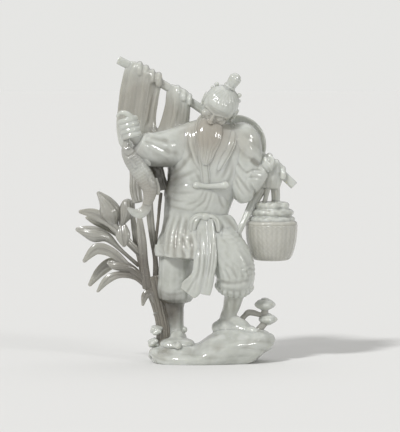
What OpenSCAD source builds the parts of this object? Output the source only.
// Old fisherman carved in jade, walking with a bowed carrying pole across his shoulders.
// A net hangs at one end of the pole and a basket at the other, and irises grow beside him.
// X runs to the figure's left hand, Y to its back and Z up, from the middle of the rock's underside.

/* [Rock base] */
// Length of the rock from side to side
base_l = 80; // [74:1:100]
// Width of the rock from front to back
base_w = 50; // [42:1:70]
// Height of the low part of the rock
base_h = 10.5; // [8:0.5:16]
// Height of the ledge under the raised foot
ledge_h = 19.5; // [16:0.5:26]
// Radius of the tufts at the rock's end
tuft_r = 3.6; // [2.5:0.1:5]

/* [Legs] */
// Distance between the ankles
stance_w = 34; // [30:1:40]
// Height of the hips over the low part of the rock
leg_l = 82; // [74:1:92]
// Height of the raised knee over its sole
shin_l = 43; // [38:1:48]
// Reach of the raised knee in front of the hips
knee_reach = 14; // [8:1:18]
// Bare lower leg below the trouser hem
calf_l = 30; // [24:1:34]
// Thickness of the calf
calf_d = 13; // [10:0.5:16]
// Length of a foot
foot_l = 27; // [24:0.5:30]
// Width of a foot
foot_w = 11.5; // [9.5:0.5:13]
// Height of the instep
foot_h = 10; // [8:0.5:13]
// Width of a trouser leg
trouser_w = 22; // [18:0.5:26]
// Depth of a trouser leg
trouser_d = 23; // [18:0.5:27]

/* [Jacket] */
// Height of the waist over the hips
belly_l = 13; // [10:0.5:16]
// Length of the torso from the waist to the neck
torso_l = 46; // [40:1:52]
// Lean of the torso towards the pole's low end
lean = 14; // [8:1:18]
// Stoop of the torso to the front
stoop = 5; // [0:1:9]
// Width of the jacket at the chest
jacket_w = 47; // [42:1:54]
// Depth of the jacket at the chest
jacket_d = 28; // [24:1:34]
// Width of the waist wrap
waist_w = 43; // [36:1:46]
// Depth of the waist wrap
waist_d = 29; // [25:1:34]
// Height of the waist wrap
waist_h = 18; // [15:1:22]
// Width of the jacket's skirt at its hem
skirt_w = 57; // [50:1:64]
// Depth of the jacket's skirt at its hem
skirt_d = 38; // [34:1:44]
// Length of the jacket's skirt
skirt_l = 37; // [32:1:42]
// Width of a lapel band
lapel_w = 6.5; // [5:0.5:8]
// Thickness of a lapel band and of the chest knot
trim_t = 4; // [3:0.25:6]
// Length of the sash tails
sash_l = 46; // [38:1:52]
// Width of the broad sash tail
sash_w = 9; // [7:0.5:12]

/* [Head] */
// Height of the head from chin to crown
head_h = 30; // [27:1:35]
// Width of the head
head_w = 23; // [21:0.5:27]
// Depth of the head from face to nape
head_d = 26; // [23:0.5:30]
// Height of the head's middle over the neck
neck_l = 17; // [15:0.5:19]
// Bow of the head to the front
head_bow = 34; // [24:1:40]
// Tilt of the head to its left shoulder
head_tilt = 22; // [12:1:28]
// Turn of the face to the raised hand
head_turn = 20; // [8:1:28]
// Height of the topknot
topknot_h = 11.5; // [11:0.5:16]
// Width of the topknot
topknot_d = 7; // [6:0.2:9]
// Length of the beard
beard_l = 24; // [20:1:30]
// Width of the beard
beard_w = 17; // [14:0.5:20]

/* [Arms] */
// Width across the shoulder joints
shoulder_w = 38; // [35:0.5:42]
// Length of the right sleeve from shoulder to cuff
right_sleeve_l = 39; // [35:1:44]
// Width of the right sleeve
right_sleeve_w = 24.5; // [21:0.5:28]
// Length of the left sleeve's hang from the shoulder
left_sleeve_l = 39; // [35:1:44]
// Width of the left sleeve
left_sleeve_w = 22; // [19:0.5:25]
// Depth of a sleeve
sleeve_d = 21; // [18:0.5:23]
// Size of a fist from wrist to knuckles
hand_l = 17; // [14:0.5:20]
// Width of a fist
hand_w = 13; // [12:0.5:16]

/* [Pole and net] */
// Length of the carrying pole
pole_l = 141; // [126:1:150]
// Thickness of the carrying pole
pole_d = 5.6; // [4:0.1:7]
// Rise of the pole's middle over its ends
pole_bow = 5.5; // [4:0.5:9]
// Slope of the pole
pole_slope = 35.4; // [31:0.2:39]
// Length of the net's large bunch
net_l = 52; // [46:1:58]
// Width of the net's large bunch
net_w = 24; // [20:0.5:27]
// Thickness of the net's bunches
net_t = 13; // [10:0.5:16]
// Length of the net's small bunch
net_small_l = 33; // [29:1:37]
// Width of the net's small bunch
net_small_w = 18; // [14:0.5:20]
// Length of the net's loose tail
net_tail_l = 39; // [35:1:44]
// Width of the net's loose tail
net_tail_w = 8; // [6:0.5:10]

/* [Fish] */
// Length of the fish from mouth to tail root
fish_l = 39; // [35:1:43]
// Height of the fish from back to belly
fish_h = 13; // [11:0.5:15]
// Thickness of the fish
fish_t = 9; // [7:0.5:11]
// Length of the fish's tail fin
fish_tail_l = 10; // [8:0.5:12]

/* [Straw hat] */
// Width of the hat's brim
hat_d = 40; // [34:1:46]
// Height of the hat's crown
hat_h = 8; // [5:0.5:12]
// Thickness of the brim's edge
brim_t = 1.8; // [1.2:0.1:3]

/* [Basket] */
// Width of the basket's rim
basket_d = 33; // [30:0.5:37]
// Height of the basket
basket_h = 24.5; // [22:0.5:29]
// Height of the load over the rim
load_h = 13; // [10:0.5:15]
// Drop of the basket's rim below the pole
basket_drop = 37.5; // [34:0.5:41]
// Width of the cloth slung over the pole
bunch_w = 16; // [13:0.5:18]
// Width of a strap
strap_w = 6; // [4:0.25:7]
// Thickness of a strap
strap_t = 3.4; // [2.5:0.1:5]

/* [Irises] */
// Height of the iris clump
plant_h = 65; // [58:1:72]
// Width of a leaf
leaf_w = 6.5; // [5:0.25:8]
// Thickness of a leaf
leaf_t = 2.6; // [2:0.1:3.5]
// Thickness of the bare stems
stem_d = 2.4; // [2:0.1:3.5]
// Thickness of a bud
bud_d = 12; // [9:0.5:14]

/* [Lingzhi] */
// Height of the fungus over the ledge
fungus_h = 21; // [18:0.5:25]
// Width of a fungus cap
cap_d = 13; // [10:0.5:15]
// Thickness of a fungus stem
fungus_stem_d = 4; // [3:0.25:5]

/* [Hidden] */

// Clearance round the pole, and behind the back where the hat hangs
seat_gap = 0.12;
// Far enough past the rock for the cut that makes its flat underside
overrun = base_l;

// Pale jade, and the same stone where it is thin or shaded
jade = [0.86, 0.87, 0.84];
deep_jade = [0.76, 0.78, 0.74];
warm_jade = [0.80, 0.79, 0.75];

// The mean of two values or points, weighted by a share
function mix(a, b, share) = a + (b - a) * share;
function unit(v) = v / norm(v);
function place(row) = [row[0], row[1], row[2]];
// A power that keeps the sign, for sections squarer than an ellipse
function signed_power(v, p) = sign(v) * pow(abs(v), p);

// A smooth curve through the rows of a table, with share 0 at the first and 1 at the last
function smooth(rows, share) =
  let (last = len(rows) - 1, s = min(max(share, 0), 1) * last, i = min(floor(s), last - 1), u = s - i)
  let (a = rows[max(i - 1, 0)], b = rows[i], c = rows[i + 1], d = rows[min(i + 2, last)])
  b + u / 2 * ((c - a) + u * ((2 * a - 5 * b + 4 * c - d) + u * (3 * (b - c) + d - a)));

// Rows of shares as places and sizes: each row holds x, y, z, width and depth
function sized(shares, at, reach, w, d) =
  [for (r = shares) [at[0] + r[0] * reach, at[1] + r[1] * reach, at[2] + r[2] * reach, r[3] * w, r[4] * d]];

// Direction of the curve through the rows
step_share = 0.02;
function heading(rows, share) =
  unit(place(smooth(rows, min(share + step_share, 1)) - smooth(rows, max(share - step_share, 0))));

// A point on the skin round the rows: angle 0 is the side, 90 the back and 270 the front
function on_skin(rows, share, angle, front = [0, 1, 0], lift = 1) =
  let (r = smooth(rows, share), t = heading(rows, share), deep = unit(front - (front * t) * t))
  let (side = cross(deep, t))
  place(r) + (side * r[3] * cos(angle) + deep * r[4] * sin(angle)) * lift / 2;

// A closed skin round a run of rows, with folds as waves round its sections
module skin(rows, sides = 16, rings = 9, front = [0, 1, 0], folds = 0, fold_share = 0,
            fold_start = 1, twist = 0, square = 1, crown = 0.4) {
  shares = [for (j = [0:rings]) j / rings];
  centres = [for (s = shares) smooth(rows, s)];
  headings = [for (s = shares) heading(rows, s)];
  points = [
    for (j = [0:rings])
      let (t = headings[j], deep = unit(front - (front * t) * t), side = cross(deep, t), c = centres[j])
      for (i = [0:sides - 1])
        let (a = 360 * i / sides)
        let (k = 1 + fold_share * mix(fold_start, 1, shares[j]) * cos(folds * a + twist * shares[j]))
        place(c) + side * c[3] / 2 * k * signed_power(cos(a), square)
          + deep * c[4] / 2 * k * signed_power(sin(a), square)
  ];
  first = place(centres[0]) - headings[0] * crown * min(centres[0][3], centres[0][4]) / 2;
  last = place(centres[rings]) + headings[rings] * crown * min(centres[rings][3], centres[rings][4]) / 2;
  top = rings * sides;
  count = len(points);
  faces = [
    for (i = [0:sides - 1]) let (n = (i + 1) % sides) each [[count, i, n], [count + 1, top + n, top + i]],
    for (j = [0:rings - 1], i = [0:sides - 1])
      let (a = j * sides + i, b = j * sides + (i + 1) % sides)
      each [[a, a + sides, b + sides], [a, b + sides, b]]
  ];
  polyhedron([each points, first, last], faces);
}

// The first form with all the others cut away, as one skin
module carved() {
  resize([0, 0, 0])
    difference() {
      children(0);
      children([1:$children - 1]);
    }
}

// Landmarks of the stance, from the rock up
right_stance_share = 0.62;
hip_share = 0.23;
right_sole = [-right_stance_share * stance_w, 0, base_h];
left_sole = [(1 - right_stance_share) * stance_w, 0, ledge_h];
hip = [-hip_share * stance_w, 0, base_h + leg_l];
waist = hip + [0, 0, belly_l];
neck = waist + torso_l * unit([tan(lean), -tan(stoop), 1]);
right_shoulder_shares = [-0.53, 0.03, -0.12];
left_shoulder_shares = [0.48, 0.03, -0.18];
right_shoulder = neck + shoulder_w * right_shoulder_shares;
left_shoulder = neck + shoulder_w * left_shoulder_shares;
head_shares = [0.15, -0.24, 0.93];
head_middle = neck + neck_l * head_shares;
knee_out_share = 0.26;
left_knee = [left_sole[0] + knee_out_share * knee_reach, -knee_reach, ledge_h + shin_l];
left_hem_shares = [0.09, -0.27, 0.97];
left_hem = left_sole + calf_l * left_hem_shares;
pole_shares = [-0.07, 0.28, 0.26];
pole_middle = neck + shoulder_w * pole_shares;
pole_yaw = -5;
pole_r = (pole_l * pole_l / 4 + pole_bow * pole_bow) / (2 * pole_bow);
pole_half = asin(pole_l / 2 / pole_r);
// A point on the pole's middle line, as share of its length from the middle, with its drop below
function on_pole(share) =
  let (a = 2 * pole_half * share, along = pole_r * sin(a), up = pole_r * (cos(a) - 1))
  let (x = along * cos(pole_slope) + up * sin(pole_slope), z = up * cos(pole_slope) - along * sin(pole_slope))
  pole_middle + [x * cos(pole_yaw), x * sin(pole_yaw), z];

// The rock: a long low stone with a ledge, higher at the end under the raised foot.
// Each row holds place along, height of the low part, rise to the ledge, underside and width.
rock_shares = [
  [-0.49, 0.60, 0.00, 0.40, 0.30],
  [-0.46, 0.90, 0.00, 0.20, 0.58],
  [-0.38, 1.00, 0.00, -0.4, 0.82],
  [-0.22, 1.02, 0.00, -0.7, 0.96],
  [-0.11, 1.00, 0.00, -0.7, 1.00],
  [0.00, 1.00, 0.50, -0.7, 1.00],
  [0.09, 1.00, 0.96, -0.6, 0.97],
  [0.20, 1.00, 1.04, -0.4, 0.92],
  [0.31, 1.00, 1.06, -0.1, 0.82],
  [0.40, 1.00, 1.08, 0.45, 0.68],
  [0.465, 1.05, 1.06, 0.70, 0.50],
  [0.508, 1.00, 0.92, 1.15, 0.26]
];
rock_rows = [
  for (r = rock_shares)
    let (top = base_h * r[1] + (ledge_h - base_h) * r[2], low = base_h * r[3])
    [base_l * r[0], 0, (top + low) / 2, top - low, base_w * r[4]]
];
module rock_form() skin(rock_rows, sides = 16, rings = 12, folds = 5, fold_share = 0.035, twist = 260,
                        square = 0.75, crown = 0.5);
module under_floor() translate([-overrun, -overrun, -overrun]) cube([2 * overrun, 2 * overrun, overrun]);
module rock_base() color(jade) carved() {
  rock_form();
  under_floor();
}

// Tufts of moss up the rock's end, each as share of the base's length, width and height and of the tuft
tuft_shares = [[-0.45, -0.06, 0.42, 1.1], [-0.455, 0.04, 1.15, 1.15], [-0.435, -0.02, 1.95, 1.15],
               [-0.425, 0.06, 3.05, 0.9]];
module moss_tufts_form() {
  for (s = tuft_shares)
    translate([s[0] * base_l, s[1] * base_w, s[2] * base_h])
      sphere(r = s[3] * tuft_r, $fn = 7);
}
module moss_tufts() color(deep_jade) carved() {
  moss_tufts_form();
  rock_form();
  iris_clump_form();
  under_floor();
}

// A bare foot with five toes, drawn with its sole on the ground and its toes to the front
foot_shares = [
  [0.02, 0.30, 0.16, 0.50, 0.55],
  [0.02, 0.20, 0.17, 0.74, 0.92],
  [0.00, 0.02, 0.17, 0.80, 1.00],
  [-0.01, -0.18, 0.13, 0.88, 0.78],
  [-0.02, -0.38, 0.09, 1.00, 0.54],
  [-0.02, -0.52, 0.07, 0.96, 0.40]
];
toe_count = 5;
toe_w_share = 0.24;
toe_h_share = 0.28;
module foot(inner) {
  skin(sized(foot_shares, [0, 0, 0], foot_l, foot_w, foot_h), sides = 8, rings = 6, front = [0, 0, 1]);
  for (i = [0:toe_count - 1])
    let (across = (i / (toe_count - 1) - 0.5) * inner, big = i == 0 ? 1.35 : 1 - 0.06 * i)
    let (root = [-across * foot_w * 0.78, -foot_l * (0.50 - 0.025 * i), 0],
         tip = root + [0, -foot_l * (0.15 - 0.012 * i), 0])
    skin([
        [root[0], root[1], foot_h * toe_h_share * 0.6, foot_w * toe_w_share * big, foot_h * toe_h_share * big],
        [tip[0], tip[1], foot_h * toe_h_share * 0.5, foot_w * toe_w_share * big, foot_h * toe_h_share],
        [tip[0], tip[1] - foot_l * 0.03, foot_h * toe_h_share * 0.4, foot_w * toe_w_share * 0.6,
         foot_h * toe_h_share * 0.5]
      ], sides = 5, rings = 2, front = [0, 0, 1]);
}

// The straight right leg, from inside its trouser hem down to the foot
right_calf_shares = [
  [-0.10, 0.06, 1.26, 1.00, 1.00],
  [-0.09, 0.07, 0.92, 1.00, 1.00],
  [-0.07, 0.09, 0.66, 0.94, 0.92],
  [-0.03, 0.10, 0.44, 0.76, 0.74],
  [-0.03, 0.10, 0.27, 0.70, 0.74],
  [-0.02, 0.08, 0.12, 0.74, 0.86]
];
right_foot_turn = -14;
module right_leg_form() {
  skin(sized(right_calf_shares, right_sole, calf_l, calf_d, calf_d), sides = 8, rings = 6);
  translate(right_sole) rotate([0, 0, right_foot_turn]) foot(1);
}
module right_leg() color(jade) carved() {
  right_leg_form();
  rock_form();
  right_trouser_form();
}

// The bent left leg, with its foot on the ledge and turned out
left_calf_shares = [
  [0.14, -0.36, 1.26, 1.05, 1.05],
  [0.12, -0.27, 0.97, 1.05, 1.05],
  [0.07, -0.15, 0.70, 0.92, 0.95],
  [-0.005, -0.05, 0.44, 0.78, 0.76],
  [-0.05, 0.00, 0.27, 0.88, 0.80],
  [-0.06, 0.00, 0.12, 0.92, 0.90]
];
left_foot_turn = 72;
module left_leg_form() {
  skin(sized(left_calf_shares, left_sole, calf_l, calf_d, calf_d), sides = 8, rings = 6);
  translate(left_sole) rotate([0, 0, left_foot_turn]) foot(-1);
}
module left_leg() color(jade) carved() {
  left_leg_form();
  rock_form();
  left_trouser_form();
}

// Knee-length trousers, gathered in at the hems
hem_pleats = 6;
right_trouser_l = leg_l - calf_l;
right_trouser_shares = [
  [-0.10, 0.00, 0.06, 0.80, 0.80],
  [-0.16, 0.00, -0.14, 0.95, 0.95],
  [-0.23, 0.00, -0.34, 1.08, 1.00],
  [-0.27, 0.01, -0.54, 1.02, 0.98],
  [-0.28, 0.02, -0.74, 0.98, 0.96],
  [-0.29, 0.03, -0.88, 1.02, 1.00],
  [-0.28, 0.04, -0.97, 0.98, 0.96],
  [-0.28, 0.04, -1.03, 0.78, 0.78]
];
module right_trouser_form() skin(sized(right_trouser_shares, hip, right_trouser_l, trouser_w, trouser_d),
                                 sides = 3 * hem_pleats, rings = 8, folds = hem_pleats, fold_share = 0.05,
                                 fold_start = 0, crown = 0);
module right_trouser() color(jade) carved() {
  right_trouser_form();
  skirt_form();
}
left_trouser_rows = [
  for (r = [[0.02, 0.00, 1.00, 0.90], [0.26, 0.00, 1.20, 1.00], [0.58, 0.06, 1.26, 1.00], [0.88, 0.06, 1.22, 1.00]])
    let (p = mix(hip, left_knee, r[0]) + [0, 0, r[1] * trouser_w])
    [p[0], p[1], p[2], r[2] * trouser_w, r[3] * trouser_d],
  for (r = [[0.32, 1.14, 1.02], [0.72, 1.06, 1.0], [0.96, 1.08, 0.94], [1.14, 0.90, 0.78]])
    let (p = mix(left_knee, left_hem, r[0]))
    [p[0], p[1], p[2], r[1] * trouser_w, r[2] * trouser_d]
];
module left_trouser_form() skin(left_trouser_rows, sides = 3 * hem_pleats, rings = 10, folds = hem_pleats,
                                fold_share = 0.045, fold_start = 0, crown = 0);
module left_trouser() color(jade) carved() {
  left_trouser_form();
  skirt_form();
  right_trouser_form();
}

// The jacket's skirt, spread over both thighs in deep folds
skirt_folds = 9;
skirt_shares = [
  [0.00, 0.00, 0.30, 0.66, 0.66],
  [-0.03, 0.00, 0.06, 0.73, 0.76],
  [0.01, -0.02, -0.18, 0.89, 0.88],
  [0.04, -0.06, -0.42, 0.98, 0.96],
  [0.03, -0.08, -0.58, 0.99, 1.00],
  [0.02, -0.09, -0.70, 0.96, 0.98]
];
module skirt_form() skin(sized(skirt_shares, hip, skirt_l, skirt_w, skirt_d), sides = 2 * skirt_folds, rings = 5,
                         folds = skirt_folds, fold_share = 0.06, fold_start = 0.2, twist = 40, crown = 0);
module jacket_skirt() color(jade) carved() {
  skirt_form();
  waist_form();
}

// The wrap round the waist, drawn in where it is tied
waist_shares = [
  [0.00, 0.00, 0.56, 0.90, 0.90],
  [0.00, 0.00, 0.40, 1.00, 0.99],
  [0.00, 0.00, 0.05, 1.02, 1.00],
  [-0.06, 0.00, -0.35, 0.95, 0.98],
  [-0.08, 0.00, -0.55, 0.88, 0.86]
];
module waist_form() skin(sized(waist_shares, waist, waist_h, waist_w, waist_d), sides = 20, rings = 4,
                         folds = 5, fold_share = 0.015, twist = 90, crown = 0);
module waist_wrap() color(jade) waist_form();

// The jacket's body, from the wrap to the neck, drawn along the lean of the torso
jacket_shares = [
  [0.00, 0.04, 0.84, 0.82],
  [0.20, 0.02, 0.98, 0.92],
  [0.40, 0.00, 1.02, 1.00],
  [0.62, 0.00, 1.02, 1.03],
  [0.80, 0.00, 1.00, 1.00],
  [0.95, 0.02, 0.90, 0.84],
  [1.07, 0.04, 0.66, 0.60],
  [1.15, 0.05, 0.40, 0.40]
];
jacket_rows = [
  for (r = jacket_shares)
    let (p = mix(waist, neck, r[0]))
    [p[0], p[1] + r[1] * jacket_d, p[2], r[2] * jacket_w, r[3] * jacket_d]
];
module jacket_form() skin(jacket_rows, sides = 16, rings = 8, crown = 0.2, square = 0.9);
module jacket_body() color(jade) carved() {
  jacket_form();
  waist_form();
  pole_bed();
}

// Lapels: bands along the jacket's skin, each point as share up the torso and angle round it
right_lapel_path = [[0.97, 208], [0.86, 228], [0.66, 246], [0.44, 262], [0.26, 274], [0.12, 282]];
left_lapel_path = [[0.97, 330], [0.86, 314], [0.66, 302], [0.48, 293], [0.36, 288]];
module lapel_form(path)
  skin([
      for (r = path)
        let (p = on_skin(jacket_rows, r[0], r[1]))
        [p[0], p[1], p[2], lapel_w, trim_t]
    ], sides = 6, rings = 7, crown = 0);
module lapel_right() color(jade) carved() {
  lapel_form(right_lapel_path);
  jacket_form();
  waist_form();
}
module lapel_left() color(jade) carved() {
  lapel_form(left_lapel_path);
  jacket_form();
  waist_form();
  left_sleeve_form();
  lapel_form(right_lapel_path);
}

// The knot on the chest: a short bar with a round knot at each end
toggle_share = 0.203;
toggle_span_share = 0.4;
toggle_middle = on_skin(jacket_rows, toggle_share, 284);
module chest_toggle_form() {
  for (side = [-1, 1])
    translate(toggle_middle + [side * waist_w * toggle_span_share / 2, 0, 0])
      scale([1.2, 1, 1]) sphere(d = trim_t * 1.2, $fn = 8);
  skin([
      for (s = [-1, 0, 1])
        [toggle_middle[0] + s * waist_w * toggle_span_share / 2, toggle_middle[1] - trim_t * 0.1,
         toggle_middle[2], trim_t * 0.9, trim_t]
    ], sides = 6, rings = 4);
}
module chest_toggle() color(jade) carved() {
  chest_toggle_form();
  jacket_form();
  waist_form();
  lapel_form(right_lapel_path);
  lapel_form(left_lapel_path);
}

// The sash: a bow under the wrap and two tails that hang between the legs
skirt_rows = sized(skirt_shares, hip, skirt_l, skirt_w, skirt_d);
bow_middle = on_skin(skirt_rows, 0.35, 257.5);
// The bow's loops droop from the knot; the one at the right hand is the larger
bow_shares = [
  [0.0, 0, 0.46, 0.6, 0.7], [0.45, -0.05, 0.52, 0.8, 0.9],
  [0.85, 0, 0.12, 1.2, 1.1], [0.92, 0.05, -0.5, 0.9, 0.9]
];
bow_sizes = [1.15, 0.9];
bow_knot_share = 0.46;
module sash_bow_form() {
  for (side = [-1, 1])
    skin([
        for (r = bow_shares)
          bow_row(r, side)
      ], sides = 6, rings = 5);
  translate(bow_middle + [0, 0, bow_knot_share * sash_w]) scale([1.2, 0.8, 1]) sphere(d = trim_t * 1.4, $fn = 8);
}
function bow_row(r, side) =
  [bow_middle[0] + side * r[0] * sash_w, bow_middle[1] + r[1] * sash_w, bow_middle[2] + r[2] * sash_w,
   r[3] * trim_t * bow_sizes[side < 0 ? 0 : 1], r[4] * trim_t * 1.3];
module sash_bow() color(jade) carved() {
  sash_bow_form();
  skirt_form();
  waist_form();
}
sash_front = on_skin(skirt_rows, 1, 270)[1];
function tail_row(r) =
  [bow_middle[0] + r[0] * sash_l, mix(bow_middle[1], sash_front, r[1]), bow_middle[2] + r[2] * sash_l,
   r[3] * sash_w, r[4] * trim_t];
long_tail_shares = [
  [-0.03, 0.0, 0.06, 0.7, 1.0], [-0.04, 0.5, -0.25, 1.0, 1.1], [-0.05, 1.0, -0.5, 1.1, 1.2],
  [-0.085, 0.92, -0.72, 1.1, 1.2], [-0.19, 0.8, -0.90, 1.5, 1.0], [-0.24, 0.76, -0.97, 1.2, 0.7]
];
short_tail_shares = [
  [0.06, 0.0, 0.06, 0.6, 1.0], [0.08, 0.5, -0.25, 0.75, 1.1], [0.085, 1.0, -0.5, 0.8, 1.2],
  [0.05, 0.95, -0.70, 0.8, 1.2], [0.01, 0.9, -0.88, 0.9, 1.0], [-0.01, 0.88, -0.98, 0.8, 0.7]
];
module long_tail_form() skin([for (r = long_tail_shares) tail_row(r)], sides = 9, rings = 7, folds = 3,
                             fold_share = 0.08, crown = 0.2);
module short_tail_form() skin([for (r = short_tail_shares) tail_row(r)], sides = 8, rings = 7, crown = 0.2);
module sash_tail_long() color(jade) carved() {
  long_tail_form();
  sash_bow_form();
  skirt_form();
  waist_form();
  right_trouser_form();
  left_trouser_form();
}
module sash_tail_short() color(jade) carved() {
  short_tail_form();
  long_tail_form();
  sash_bow_form();
  skirt_form();
  waist_form();
  right_trouser_form();
  left_trouser_form();
}

// The right arm: a wide sleeve held out, and the fist that holds up the fish
right_sleeve_shares = [
  [0.22, 0.05, -0.01, 1.26, 1.10],
  [-0.01, 0.02, -0.08, 1.48, 1.08],
  [-0.26, -0.08, -0.16, 1.50, 1.04],
  [-0.50, -0.17, -0.18, 1.40, 0.96],
  [-0.68, -0.24, -0.12, 1.22, 0.88],
  [-0.76, -0.27, -0.07, 1.00, 0.76]
];
module right_sleeve_form() skin(sized(right_sleeve_shares, right_shoulder, right_sleeve_l,
                                      right_sleeve_w * 0.66, sleeve_d),
                                sides = 14, rings = 6, crown = -0.3, square = 0.9);
module right_sleeve() color(jade) carved() {
  right_sleeve_form();
  jacket_form();
  pole_bed();
}
// The sleeve's back hangs down behind the fish
sleeve_drop_shares = [[-0.50, -0.02, -0.30, 0.9, 1.1], [-0.49, -0.02, -0.50, 0.9, 1.0],
                      [-0.44, 0.0, -0.70, 0.92, 0.9], [-0.41, 0.0, -0.86, 0.90, 0.7]];
module sleeve_drop_form() skin(sized(sleeve_drop_shares, right_shoulder, right_sleeve_l,
                                     right_sleeve_w * 0.5, trim_t),
                               sides = 8, rings = 5);
module sleeve_drop() color(deep_jade) carved() {
  sleeve_drop_form();
  right_sleeve_form();
  jacket_form();
  waist_form();
}

// A fist, drawn upright with its knuckles up and its fingers closed to the front
palm_shares = [[0.22, 0.25, -0.62, 0.62, 0.62], [0.10, 0.10, -0.35, 0.72, 0.62], [0.05, 0.03, -0.08, 0.88, 0.62],
               [0.06, 0.02, 0.18, 0.84, 0.56], [0.06, 0.02, 0.34, 0.52, 0.40]];
finger_count = 4;
finger_shares = [[0.34, -0.12, 0.02], [0.10, -0.34, 0.02], [-0.24, -0.36, 0.0], [-0.46, -0.16, -0.01],
                 [-0.40, 0.06, -0.02]];
thumb_shares = [[0.30, -0.14, 0.20], [0.16, -0.32, 0.40], [-0.08, -0.36, 0.52], [-0.34, -0.30, 0.52]];
finger_d_share = 0.23;
module fist() {
  skin([for (r = palm_shares) [r[0] * hand_w, r[1] * hand_w, r[2] * hand_l, r[3] * hand_w, r[4] * hand_w]],
       sides = 8, rings = 5);
  for (i = [0:finger_count - 1])
    let (up = 0.27 - 0.2 * i)
    skin([for (r = finger_shares) [r[0] * hand_w, r[1] * hand_w, (r[2] + up) * hand_l,
                                   finger_d_share * hand_w, finger_d_share * hand_w]],
         sides = 5, rings = 3, front = [0, 0, 1]);
  skin([for (r = thumb_shares) [r[0] * hand_w, r[1] * hand_w, r[2] * hand_l,
                                finger_d_share * hand_w, finger_d_share * hand_w]],
       sides = 5, rings = 3, front = [0, 0, 1]);
}
right_hand_shares = [-0.878, -0.36, 0.20];
right_hand_at = right_shoulder + right_sleeve_l * right_hand_shares;
module right_hand_form() translate(right_hand_at) rotate([0, -14, 0]) fist();
module right_hand() color(jade) carved() {
  right_hand_form();
  right_sleeve_form();
}

// The left arm: a full sleeve that hangs from the shoulder, its forearm raised to the pole
left_sleeve_shares = [
  [-0.16, 0.04, 0.20, 0.90, 0.80],
  [0.00, 0.02, 0.06, 1.46, 1.00],
  [0.04, 0.00, -0.26, 1.50, 1.02],
  [0.02, -0.04, -0.54, 1.30, 0.98],
  [0.00, -0.06, -0.76, 1.10, 0.86],
  [0.03, -0.06, -0.92, 0.84, 0.70],
  [0.05, -0.06, -0.99, 0.55, 0.50]
];
left_elbow_shares = [0.06, -0.12, -0.66];
left_elbow = left_shoulder + left_sleeve_l * left_elbow_shares;
left_grip_share = 0.325;
left_hand_shares = [-0.15, -0.55, -0.35];
left_hand_at = on_pole(left_grip_share) + hand_w * left_hand_shares;
forearm_shares = [[0.0, 0.96, 0.70], [0.35, 0.90, 0.66], [0.70, 0.74, 0.60], [0.90, 0.62, 0.54]];
forearm_rows = [
  for (r = forearm_shares)
    let (p = mix(left_elbow, left_hand_at, r[0]))
    [p[0], p[1], p[2], r[1] * left_sleeve_w * 0.9, r[2] * sleeve_d]
];
module left_sleeve_form() {
  skin(sized(left_sleeve_shares, left_shoulder, left_sleeve_l, left_sleeve_w * 0.66, sleeve_d),
       sides = 14, rings = 7, folds = 5, fold_share = 0.03, fold_start = 0);
  skin(forearm_rows, sides = 8, rings = 3, crown = -0.2);
}
module left_sleeve() color(jade) carved() {
  left_sleeve_form();
  jacket_form();
  waist_form();
  skirt_form();
  pole_bed();
}
module left_hand_form() translate(left_hand_at) rotate([0, 62, 0]) scale(0.75) fist();
module left_hand() color(jade) carved() {
  left_hand_form();
  left_sleeve_form();
  pole_bed();
}

// The head, drawn upright with its face to the front, then bowed, tilted and turned
module at_head() translate(head_middle) rotate([head_bow, 0, 0]) rotate([0, head_tilt, -head_turn]) children();
head_rows_shares = [
  [0.00, -0.04, -0.50, 0.40, 0.42],
  [0.00, -0.02, -0.38, 0.68, 0.66],
  [0.00, 0.00, -0.20, 0.86, 0.86],
  [0.00, 0.00, 0.02, 0.96, 0.97],
  [0.00, 0.00, 0.20, 1.00, 1.00],
  [0.00, 0.01, 0.36, 0.86, 0.86],
  [0.00, 0.02, 0.46, 0.56, 0.58]
];
head_rows = sized(head_rows_shares, [0, 0, 0], head_h, head_w, head_d);
nose_shares = [[0, -0.44, 0.07, 0.5, 0.6], [0, -0.48, -0.02, 0.7, 0.9], [0, -0.51, -0.10, 1.15, 1.1],
               [0, -0.47, -0.135, 1.0, 0.8]];
ear_shares = [[0.48, 0.06, -0.16, 0.6, 0.8], [0.51, 0.05, -0.02, 1.0, 1.4], [0.49, 0.05, 0.10, 0.7, 1.0]];
feature_share = 0.15;
module head_form() at_head() {
  skin(head_rows, sides = 14, rings = 8);
  skin([for (r = nose_shares) [0, r[1] * head_d, r[2] * head_h, r[3] * feature_share * head_w,
                               r[4] * feature_share * head_w]],
       sides = 5, rings = 3);
  for (side = [-1, 1])
    skin([for (r = ear_shares) [side * r[0] * head_w, r[1] * head_d, r[2] * head_h,
                                r[3] * feature_share * head_w, r[4] * feature_share * head_d]],
         sides = 5, rings = 2);
}
module head() color(jade) carved() {
  head_form();
  jacket_form();
  pole_bed();
  lapel_form(right_lapel_path);
  lapel_form(left_lapel_path);
}

// The beard, from the chin down the chest in a few locks
chin = head_middle + [-0.24 * head_w, -0.06 * head_d, -0.44 * head_h];
beard_end = on_skin(jacket_rows, 0.50, 262);
beard_rows = [
  for (r = [[-0.20, -0.10, 0.75, 0.9], [0.10, -0.16, 1.00, 1.0], [0.38, -0.16, 0.95, 0.9], [0.66, -0.10, 0.72, 0.7],
            [0.88, -0.04, 0.42, 0.5], [1.0, -0.02, 0.16, 0.3]])
    let (p = mix(chin, beard_end, r[0]))
    [p[0], p[1] + r[1] * beard_w, mix(chin[2], chin[2] - beard_l, r[0]), r[2] * beard_w, r[3] * beard_w * 0.42]
];
module beard_form() skin(beard_rows, sides = 14, rings = 7, folds = 7, fold_share = 0.05, crown = 0.2);
module beard() color(jade) carved() {
  beard_form();
  head_form();
  jacket_form();
  lapel_form(right_lapel_path);
  lapel_form(left_lapel_path);
}

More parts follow.
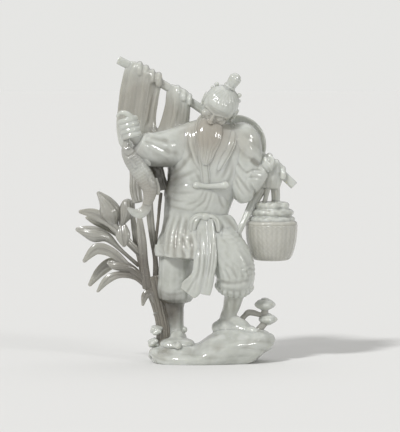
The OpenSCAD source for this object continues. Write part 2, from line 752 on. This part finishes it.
// The topknot behind the crown, with a band of twisted hair round its root
knot_root_shares = [-0.03, 0.16, 0.36];
knot_tip_shares = [0.07, 0.40, 0.62];
knot_root = [knot_root_shares[0] * head_w, knot_root_shares[1] * head_d, knot_root_shares[2] * head_h];
knot_way = unit([knot_tip_shares[0], knot_tip_shares[1], knot_tip_shares[2]]);
topknot_rows = [
  for (r = [[0.0, 1.05], [0.30, 0.98], [0.55, 1.02], [0.78, 1.12], [0.95, 1.12], [1.03, 0.90]])
    let (p = knot_root + knot_way * r[0] * topknot_h)
    [p[0], p[1], p[2], r[1] * topknot_d, r[1] * topknot_d]
];
module topknot_form() at_head() skin(topknot_rows, sides = 10, rings = 6, folds = 5, fold_share = 0.03);
module topknot() color(jade) carved() {
  topknot_form();
  head_form();
}
band_shares = [0.42, 0.16];
module hair_band_form() at_head() {
  translate(knot_root + knot_way * topknot_h * 0.34)
    rotate([0, acos(knot_way[2]), atan2(knot_way[1], knot_way[0])])
      rotate_extrude($fn = 12)
        translate([topknot_d * band_shares[0], 0]) circle(r = topknot_d * band_shares[1], $fn = 4);
  for (a = [-52, 60])
    translate(on_skin(head_rows, 0.84, 90 + a)) sphere(d = topknot_d * 0.46, $fn = 6);
}
module hair_band() color(jade) carved() {
  hair_band_form();
  head_form();
  topknot_form();
}

// The straw hat, hung flat against the back behind the left shoulder
sleeve_rows = sized(left_sleeve_shares, left_shoulder, left_sleeve_l, left_sleeve_w * 0.66, sleeve_d);
back_y = max([for (r = jacket_rows) r[1] + r[4] / 2, for (r = sleeve_rows) r[1] + r[4] / 2,
              pole_middle[1] + pole_d / 2]) + seat_gap;
hat_shares = [0.335, -0.24];
module straw_hat() color(warm_jade)
  translate([neck[0] + hat_shares[0] * hat_d, back_y, neck[2] + hat_shares[1] * hat_d])
    rotate([-90, 0, 0]) rotate_extrude($fn = 72)
      polygon([[0, 0], [hat_d * 0.46, 0], [hat_d / 2, brim_t * 0.3], [hat_d / 2, brim_t],
               [hat_d * 0.30, brim_t + hat_h * 0.22], [hat_d * 0.12, brim_t + hat_h * 0.8],
               [hat_d * 0.06, brim_t + hat_h * 0.97], [0, brim_t + hat_h]]);

// The carrying pole: a round bar bent to one arc, high in the middle, behind the neck
module pole_arc(d, ends, steps, sides)
  translate(pole_middle) rotate([0, pole_slope, pole_yaw])
    translate([0, 0, -pole_r]) rotate([90, 0, 0]) rotate([0, 0, 90 - pole_half - ends])
      rotate_extrude(angle = 2 * (pole_half + ends), $fn = steps)
        translate([pole_r, 0]) circle(d = d, $fn = sides);
module carrying_pole() color(jade) pole_arc(pole_d, 0, 360, 32);
// The bed that the pole lies in, which clears it all round
bed_sides = 12;
module pole_bed() pole_arc((pole_d + 2 * seat_gap) / cos(180 / bed_sides), 0.5, 160, bed_sides);

// The net, slung over the pole in two bunches with a swag between them and a loose tail
net_place_share = -0.35;
net_small_place_share = -0.155;
net_top = on_pole(net_place_share);
net_small_top = on_pole(net_small_place_share);
net_shares = [
  [0.02, 0.00, 0.11, 0.66, 0.60],
  [-0.02, 0.00, 0.04, 1.00, 0.95],
  [-0.07, 0.00, -0.16, 1.04, 1.00],
  [-0.11, -0.02, -0.42, 1.02, 0.95],
  [-0.13, -0.04, -0.68, 1.02, 0.90],
  [-0.15, -0.05, -0.86, 0.82, 0.75],
  [-0.15, -0.05, -0.96, 0.50, 0.50]
];
module net_large_form() skin(sized(net_shares, net_top, net_l, net_w, net_t), sides = 14, rings = 7,
                             folds = 7, fold_share = 0.08);
module net_large_bunch() color(jade) carved() {
  net_large_form();
  pole_bed();
  right_sleeve_form();
  right_hand_form();
}
net_small_shares = [
  [-0.07, 0.00, 0.22, 0.62, 0.60],
  [-0.08, 0.00, 0.08, 0.85, 0.95],
  [-0.09, 0.00, -0.18, 0.90, 1.00],
  [-0.14, -0.02, -0.50, 1.00, 0.95],
  [-0.21, -0.04, -0.78, 1.04, 0.90],
  [-0.24, -0.05, -0.96, 0.80, 0.70]
];
module net_small_form() skin(sized(net_small_shares, net_small_top, net_small_l, net_small_w, net_t),
                             sides = 10, rings = 6, folds = 5, fold_share = 0.08);
module net_small_bunch() color(jade) carved() {
  net_small_form();
  pole_bed();
  right_sleeve_form();
  jacket_form();
  head_form();
}
swag_from = net_top + net_l * [0.02, -0.04, -0.66];
swag_to = net_small_top + net_small_l * [-0.20, -0.04, -0.84];
net_swag_rows = [
  for (r = [[0, 0, 1], [0.35, 0.22, 0.9], [0.65, 0.22, 0.9], [1, 0, 1]])
    let (p = mix(swag_from, swag_to, r[0]))
    [p[0], p[1], p[2] - r[1] * net_t, r[2] * net_t * 0.62, r[2] * net_t * 0.6]
];
module net_swag_form() skin(net_swag_rows, sides = 8, rings = 5);
module net_swag() color(deep_jade) carved() {
  net_swag_form();
  net_large_form();
  net_small_form();
  right_sleeve_form();
}
net_tail_shift_shares = [-0.085, 1.35, -0.585];
net_tail_at = right_hand_at + hand_l * net_tail_shift_shares;
net_tail_shares = [[-0.02, 0.0, 0.08, 1.0, 0.8], [0.06, -0.04, -0.2, 1.0, 0.8], [0.10, -0.12, -0.5, 0.9, 0.8],
                   [0.11, -0.22, -0.8, 0.95, 0.8], [0.15, -0.30, -1.0, 0.8, 0.7]];
module net_tail_form() skin(sized(net_tail_shares, net_tail_at, net_tail_l, net_tail_w, strap_t), sides = 8, rings = 6);
module net_tail() color(deep_jade) carved() {
  net_tail_form();
  net_large_form();
  right_sleeve_form();
  right_hand_form();
  fish_form();
  fish_tail_form();
}

// The fish, hung head up from the fist, with its tail curled
fish_at = right_hand_at + [-0.32 * hand_w, -0.05 * hand_w, -0.56 * hand_l];
fish_shares = [
  [0.04, 0.00, 0.09, 0.24, 0.40],
  [0.03, 0.00, -0.05, 0.36, 0.52],
  [0.055, 0.00, -0.16, 0.66, 0.80],
  [0.13, 0.00, -0.285, 0.86, 0.95],
  [0.235, 0.00, -0.435, 0.92, 1.00],
  [0.345, 0.00, -0.60, 0.92, 0.95],
  [0.418, 0.00, -0.76, 0.80, 0.80],
  [0.41, 0.01, -0.918, 0.60, 0.62],
  [0.368, 0.02, -1.035, 0.44, 0.48]
];
fish_rows = sized(fish_shares, fish_at, fish_l, fish_h, fish_t);
module fish_form() skin(fish_rows, sides = 10, rings = 7);
module fish_body() color(jade) carved() {
  fish_form();
  right_hand_form();
  right_sleeve_form();
}
fish_tail_at = place(fish_rows[len(fish_rows) - 1]);
fish_tail_shares = [[0.03, 0.0, 0.10, 0.40, 0.9], [-0.06, 0.0, -0.29, 0.48, 0.9], [-0.39, -0.02, -0.585, 0.50, 0.8],
                    [-0.81, -0.02, -0.52, 0.38, 0.7], [-1.20, -0.02, -0.25, 0.12, 0.5]];
module fish_tail_form() skin(sized(fish_tail_shares, fish_tail_at, fish_tail_l, fish_h, strap_t),
                             sides = 10, rings = 5);
module fish_tail() color(jade) carved() {
  fish_tail_form();
  fish_form();
}
// Fins along the fish: share along it, angle round it, length and lean
fin_share = 0.3;
module fish_fins_form()
  for (f = [[0.40, 180, 1.0], [0.68, 180, 1.1], [0.60, 252, 0.8], [0.34, 280, 0.7]])
    let (root = on_skin(fish_rows, f[0], f[1], lift = 0.85), tip = on_skin(fish_rows, f[0] + 0.14, f[1], lift = 1.22))
    skin([
        [root[0], root[1], root[2], fish_h * fin_share * f[2], strap_t * 0.5],
        [mix(root, tip, 0.6)[0], mix(root, tip, 0.6)[1], mix(root, tip, 0.6)[2], fish_h * fin_share * 1.1 * f[2],
         strap_t * 0.5],
        [tip[0], tip[1], tip[2], fish_h * fin_share * 0.6 * f[2], strap_t * 0.35]
      ], sides = 6, rings = 3, front = [0.3, 1, 0.2]);
module fish_fins() color(jade) carved() {
  fish_fins_form();
  fish_form();
  right_sleeve_form();
  right_hand_form();
}

// The basket of upright staves under the pole's low end, and its piled load
basket_place_share = 0.358;
basket_top = on_pole(basket_place_share) - [0, 0, basket_drop];
stave_count = 16;
basket_shares = [[0.04, 0.92], [-0.04, 1.01], [-0.16, 1.02], [-0.50, 0.97], [-0.80, 0.86], [-0.93, 0.77], [-1, 0.67]];
basket_rows = [for (r = basket_shares) [basket_top[0], basket_top[1], basket_top[2] + r[0] * basket_h,
                                        r[1] * basket_d, r[1] * basket_d]];
module basket_form() skin(basket_rows, sides = 2 * stave_count, rings = 6, folds = stave_count,
                          fold_share = 0.012, crown = 0);
module basket() color(warm_jade) carved() {
  basket_form();
  skirt_form();
  left_trouser_form();
}
load_tier_shares = [[0.0, 0.90], [0.36, 0.85], [0.70, 0.72]];
tier_row_shares = [[-0.04, 0.86], [0.06, 1.00], [0.22, 1.00], [0.30, 0.86]];
tier_scallops = 6;
load_rows = [
  for (s = load_tier_shares, t = tier_row_shares)
    [basket_top[0], basket_top[1], basket_top[2] + (s[0] + t[0]) * load_h, s[1] * t[1] * basket_d,
     s[1] * t[1] * basket_d]
];
module basket_load_form() skin(load_rows, sides = 3 * tier_scallops, rings = len(load_rows) - 1,
                               folds = tier_scallops, fold_share = 0.03, crown = 0.05);
module basket_load() color(jade) carved() {
  basket_load_form();
  basket_form();
  skirt_form();
}

// The cloth slung over the pole, and the straps that carry the basket
bunch_top = on_pole(basket_place_share + 0.01);
bunch_drop = basket_drop - load_h;
bunch_shares = [
  [-0.06, 0.00, 0.28, 0.66, 0.55],
  [-0.06, 0.00, 0.17, 1.06, 0.90],
  [-0.08, 0.00, -0.10, 1.28, 1.00],
  [-0.12, 0.00, -0.36, 1.12, 0.95],
  [-0.14, 0.00, -0.56, 0.98, 0.80]
];
module bunch_form() skin(sized(bunch_shares, bunch_top, bunch_drop, bunch_w, net_t), sides = 14, rings = 5,
                         folds = 7, fold_share = 0.05);
module strap_bunch() color(jade) carved() {
  bunch_form();
  pole_bed();
  left_sleeve_form();
  left_hand_form();
  basket_load_form();
}
strap_knot = bunch_top + bunch_drop * [-0.29, -0.05, -0.50];
strap_foot = on_skin(skirt_rows, 0.50, 196);
strap_front_rows = [
  for (r = [[0.00, 0.00, 1.3, 1.2], [0.20, -0.02, 1.25, 1.1], [0.40, -0.02, 1.0, 1.0], [0.62, 0.00, 0.8, 1.0],
            [0.84, 0.02, 0.65, 1.0], [1.06, 0.00, 0.7, 1.0]])
    let (p = mix(strap_knot, strap_foot, r[0]))
    [p[0], p[1] - r[1] * bunch_drop, p[2], r[2] * strap_w, r[3] * strap_t]
];
module strap_front_form() skin(strap_front_rows, sides = 8, rings = 7);
module strap_front() color(jade) carved() {
  strap_front_form();
  bunch_form();
  left_sleeve_form();
  left_hand_form();
  skirt_form();
  waist_form();
  basket_form();
  basket_load_form();
}
strap_ribbon_rows = [
  for (r = [[-0.12, -0.10, -0.45, 0.6], [-0.22, -0.14, -0.90, 0.5], [-0.34, -0.12, -1.22, 0.5],
            [-0.50, -0.08, -1.42, 0.6]])
    [bunch_top[0] + r[0] * bunch_drop, bunch_top[1] + r[1] * bunch_drop, bunch_top[2] + r[2] * bunch_drop,
     r[3] * strap_w, strap_t]
];
module strap_ribbon_form() skin(strap_ribbon_rows, sides = 6, rings = 6);
module strap_ribbon() color(jade) carved() {
  strap_ribbon_form();
  bunch_form();
  strap_front_form();
  basket_load_form();
}
strap_rear_rows = [
  for (r = [[0.05, 0.02, -0.42, 1.0], [0.07, 0.06, -0.85, 0.9], [0.05, 0.08, -1.05, 0.9], [0.02, 0.08, -1.30, 1.1]])
    [bunch_top[0] + r[0] * bunch_drop, bunch_top[1] + r[1] * bunch_drop, bunch_top[2] + r[2] * bunch_drop,
     r[3] * strap_w, 1.2 * strap_t]
];
module strap_rear_form() skin(strap_rear_rows, sides = 8, rings = 6);
module strap_rear() color(jade) carved() {
  strap_rear_form();
  bunch_form();
  basket_load_form();
}

// The iris clump beside the right leg, its leaves and its buds, all as shares of its height
plant_shares = [-0.445, 0.04];
plant_root = [plant_shares[0] * base_l, plant_shares[1] * base_w, base_h];
clump_shares = [
  [0.09, 0.00, -0.08, 1.9, 3.2], [0.085, 0.00, 0.06, 1.4, 2.6], [0.075, 0.00, 0.22, 1.3, 2.3],
  [0.04, 0.00, 0.38, 1.3, 2.2], [0.00, 0.00, 0.54, 1.6, 2.2], [-0.035, 0.00, 0.68, 1.9, 1.9]
];
module iris_clump_form() skin(sized(clump_shares, plant_root, plant_h, leaf_w, leaf_t), sides = 12, rings = 6,
                              folds = 4, fold_share = 0.06);
module iris_clump() color(deep_jade) carved() {
  iris_clump_form();
  rock_form();
  right_trouser_form();
  right_leg_form();
}
// Each leaf's rows: x, y, z, width and thickness
leaf_shares = [
  // Narrow leaf behind the fish's tail
  [[0.00, 0.02, 0.60, 0.6, 1.0], [0.00, 0.03, 0.85, 0.5, 1.0], [-0.025, 0.03, 1.06, 0.65, 1.0],
   [-0.052, 0.03, 1.30, 0.75, 1.0], [-0.05, 0.02, 1.44, 0.55, 0.8]],
  // Leaf under the fish's tail
  [[-0.08, -0.03, 0.58, 1.0, 1.0], [-0.112, -0.05, 0.84, 0.85, 1.0], [-0.132, -0.08, 1.06, 0.9, 1.0],
   [-0.157, -0.11, 1.28, 0.6, 0.8]],
  // Leaf to the left of it
  [[-0.09, 0.00, 0.60, 0.8, 1.0], [-0.14, 0.01, 0.85, 0.8, 1.0], [-0.192, 0.02, 1.06, 0.7, 1.0],
   [-0.228, 0.02, 1.30, 0.5, 0.9]],
  // The two long narrow leaves that point out at the side
  [[-0.15, -0.05, 0.93, 0.5, 0.9], [-0.27, -0.08, 1.06, 0.55, 0.9], [-0.43, -0.08, 1.21, 0.8, 0.9],
   [-0.60, -0.08, 1.32, 1.05, 0.9], [-0.75, -0.08, 1.345, 0.4, 0.7]],
  [[-0.17, 0.03, 0.92, 0.5, 0.9], [-0.32, 0.05, 1.06, 0.5, 0.9], [-0.47, 0.07, 1.17, 0.7, 0.9],
   [-0.60, 0.08, 1.24, 0.8, 0.9], [-0.69, 0.08, 1.275, 0.3, 0.7]],
  // The arched leaf
  [[-0.09, -0.03, 0.66, 0.7, 1.0], [-0.27, -0.04, 0.79, 0.75, 1.0], [-0.43, -0.05, 0.93, 1.0, 1.0],
   [-0.585, -0.06, 0.97, 1.15, 1.0], [-0.71, -0.06, 0.85, 0.4, 0.8]],
  // The two low leaves
  [[-0.10, 0.04, 0.66, 0.8, 1.0], [-0.25, 0.07, 0.76, 0.8, 1.0], [-0.42, 0.08, 0.82, 1.2, 1.0],
   [-0.55, 0.08, 0.74, 1.1, 1.0], [-0.66, 0.08, 0.60, 0.4, 0.8]],
  [[-0.05, -0.02, 0.57, 0.8, 1.0], [-0.19, -0.02, 0.685, 0.7, 1.0], [-0.35, -0.02, 0.71, 0.7, 1.0],
   [-0.48, -0.02, 0.66, 0.85, 1.0], [-0.575, -0.02, 0.545, 0.3, 0.8]],
  // The curled leaf low on the clump
  [[0.03, -0.02, 0.42, 0.9, 1.0], [-0.04, -0.03, 0.52, 0.9, 1.0], [-0.10, -0.04, 0.50, 0.8, 1.0],
   [-0.125, -0.04, 0.41, 0.3, 0.7]]
];
module leaf_form(i) skin(sized(leaf_shares[i], plant_root, plant_h, leaf_w, leaf_t), sides = 6, rings = 7);
// A leaf is cut by the clump, the fish's tail and the leaves before it
module leaf(i) color(deep_jade) carved() {
  leaf_form(i);
  iris_clump_form();
  fish_tail_form();
  net_tail_form();
  right_trouser_form();
  for (k = [0:1:i - 1]) leaf_form(k);
}
iris_stem_shares = [[0.01, 0.03, 0.50, 1.2], [0.015, 0.04, 0.75, 1.0], [0.005, 0.04, 1.0, 0.85],
                    [0.028, 0.04, 1.25, 0.85], [0.055, 0.03, 1.52, 1.0]];
module iris_stem_form()
  skin([for (r = iris_stem_shares) [plant_root[0] + r[0] * plant_h, plant_root[1] + r[1] * plant_h,
                                    plant_root[2] + r[2] * plant_h, r[3] * stem_d, r[3] * stem_d]],
       sides = 6, rings = 7);
module iris_stem() color(deep_jade) carved() {
  iris_stem_form();
  iris_clump_form();
  leaf_form(0);
  sleeve_drop_form();
  right_trouser_form();
}
// Each bud on its stem: x, y, z and thickness as share of the bud
bud_shares = [
  // The large bud at the top
  [[-0.19, -0.02, 0.95, 0.2], [-0.33, -0.02, 1.08, 0.22], [-0.42, -0.03, 1.21, 0.6], [-0.45, -0.04, 1.33, 1.2],
   [-0.49, -0.05, 1.43, 0.8], [-0.57, -0.05, 1.53, 0.2]],
  // The bud that points out at the side
  [[-0.17, 0.02, 0.80, 0.22], [-0.34, 0.02, 0.95, 0.22], [-0.48, 0.02, 1.08, 0.5], [-0.60, 0.02, 1.11, 0.85],
   [-0.70, 0.02, 1.14, 0.6], [-0.785, 0.02, 1.16, 0.2]],
  // The bud behind the fish, with its petal drooping
  [[-0.32, -0.03, 1.10, 0.24], [-0.33, -0.04, 1.22, 0.34], [-0.29, -0.05, 1.34, 0.85], [-0.27, -0.05, 1.43, 0.7]],
  // The small bud low down
  [[-0.12, -0.01, 0.68, 0.22], [-0.22, -0.02, 0.76, 0.40], [-0.33, -0.02, 0.80, 0.62], [-0.42, -0.02, 0.81, 0.5],
   [-0.47, -0.02, 0.83, 0.2]]
];
module bud_form(i)
  skin([for (r = bud_shares[i]) [plant_root[0] + r[0] * plant_h, plant_root[1] + r[1] * plant_h,
                                 plant_root[2] + r[2] * plant_h, r[3] * bud_d, r[3] * bud_d]],
       sides = 7, rings = 6);
drooping_shares = [[-0.33, -0.06, 1.20, 0.5], [-0.32, -0.08, 1.10, 0.8], [-0.31, -0.09, 1.00, 0.2]];
module drooping_form()
  skin([for (r = drooping_shares) [plant_root[0] + r[0] * plant_h, plant_root[1] + r[1] * plant_h,
                                   plant_root[2] + r[2] * plant_h, r[3] * bud_d, 0.6 * r[3] * bud_d]],
       sides = 6, rings = 4);
module bud(i) color(jade) carved() {
  union() {
    bud_form(i);
    if (i == 2) drooping_form();
  }
  iris_clump_form();
  for (k = [0:len(leaf_shares) - 1]) leaf_form(k);
  for (k = [0:1:i - 1]) bud_form(k);
  fish_tail_form();
}

// The lingzhi: a forked stem on the ledge with two stacked caps
fungus_shares = [0.385, 0.02];
fungus_root = [fungus_shares[0] * base_l, fungus_shares[1] * base_w, ledge_h];
stem_shares = [[0.00, 0.0, -0.12, 2.0], [0.06, 0.0, 0.06, 1.3], [0.16, 0.0, 0.18, 1.2], [0.28, 0.0, 0.36, 1.3],
               [0.24, 0.0, 0.56, 1.2], [0.24, 0.0, 0.76, 1.1]];
branch_shares = [[0.29, 0.0, 0.42, 1.0], [0.04, 0.0, 0.53, 0.85], [-0.25, 0.0, 0.59, 1.1], [-0.46, 0.0, 0.42, 0.9],
                 [-0.60, 0.0, 0.28, 0.9]];
function fungus_rows(shares) =
  [for (r = shares) [fungus_root[0] + r[0] * fungus_h, fungus_root[1] + r[1] * fungus_h,
                     fungus_root[2] + r[2] * fungus_h, r[3] * fungus_stem_d, r[3] * fungus_stem_d]];
module fungus_stem_form() {
  skin(fungus_rows(stem_shares), sides = 8, rings = 5);
  skin(fungus_rows(branch_shares), sides = 7, rings = 4);
}
cap_place_shares = [[0.33, 0.0, 0.39, 0.9], [0.235, 0.0, 0.85, 1.0]];
cap_shares = [[-0.28, 0.4], [-0.16, 0.84], [-0.02, 1.0], [0.14, 0.8], [0.25, 0.4]];
module cap_form(i)
  translate(fungus_root + fungus_h * [cap_place_shares[i][0], cap_place_shares[i][1], cap_place_shares[i][2]])
    scale(cap_place_shares[i][3])
      skin([for (r = cap_shares) [0, 0, r[0] * cap_d, r[1] * cap_d, 0.95 * r[1] * cap_d]],
           sides = 12, rings = 5, folds = 4, fold_share = 0.05);
module fungus_stem() color(jade) carved() {
  fungus_stem_form();
  rock_form();
  left_leg_form();
  cap_form(0);
  cap_form(1);
}
module fungus_cap_lower() color(jade) cap_form(0);
module fungus_cap_upper() color(jade) cap_form(1);

rock_base();
moss_tufts();
right_leg();
left_leg();
right_trouser();
left_trouser();
jacket_skirt();
waist_wrap();
jacket_body();
lapel_right();
lapel_left();
chest_toggle();
sash_bow();
sash_tail_long();
sash_tail_short();
right_sleeve();
sleeve_drop();
right_hand();
left_sleeve();
left_hand();
head();
beard();
topknot();
hair_band();
straw_hat();
carrying_pole();
net_large_bunch();
net_small_bunch();
net_swag();
net_tail();
fish_body();
fish_tail();
fish_fins();
basket();
basket_load();
strap_bunch();
strap_front();
strap_ribbon();
strap_rear();
iris_clump();
iris_stem();
for (i = [0:len(leaf_shares) - 1])
  leaf(i);
for (i = [0:len(bud_shares) - 1])
  bud(i);
fungus_stem();
fungus_cap_lower();
fungus_cap_upper();
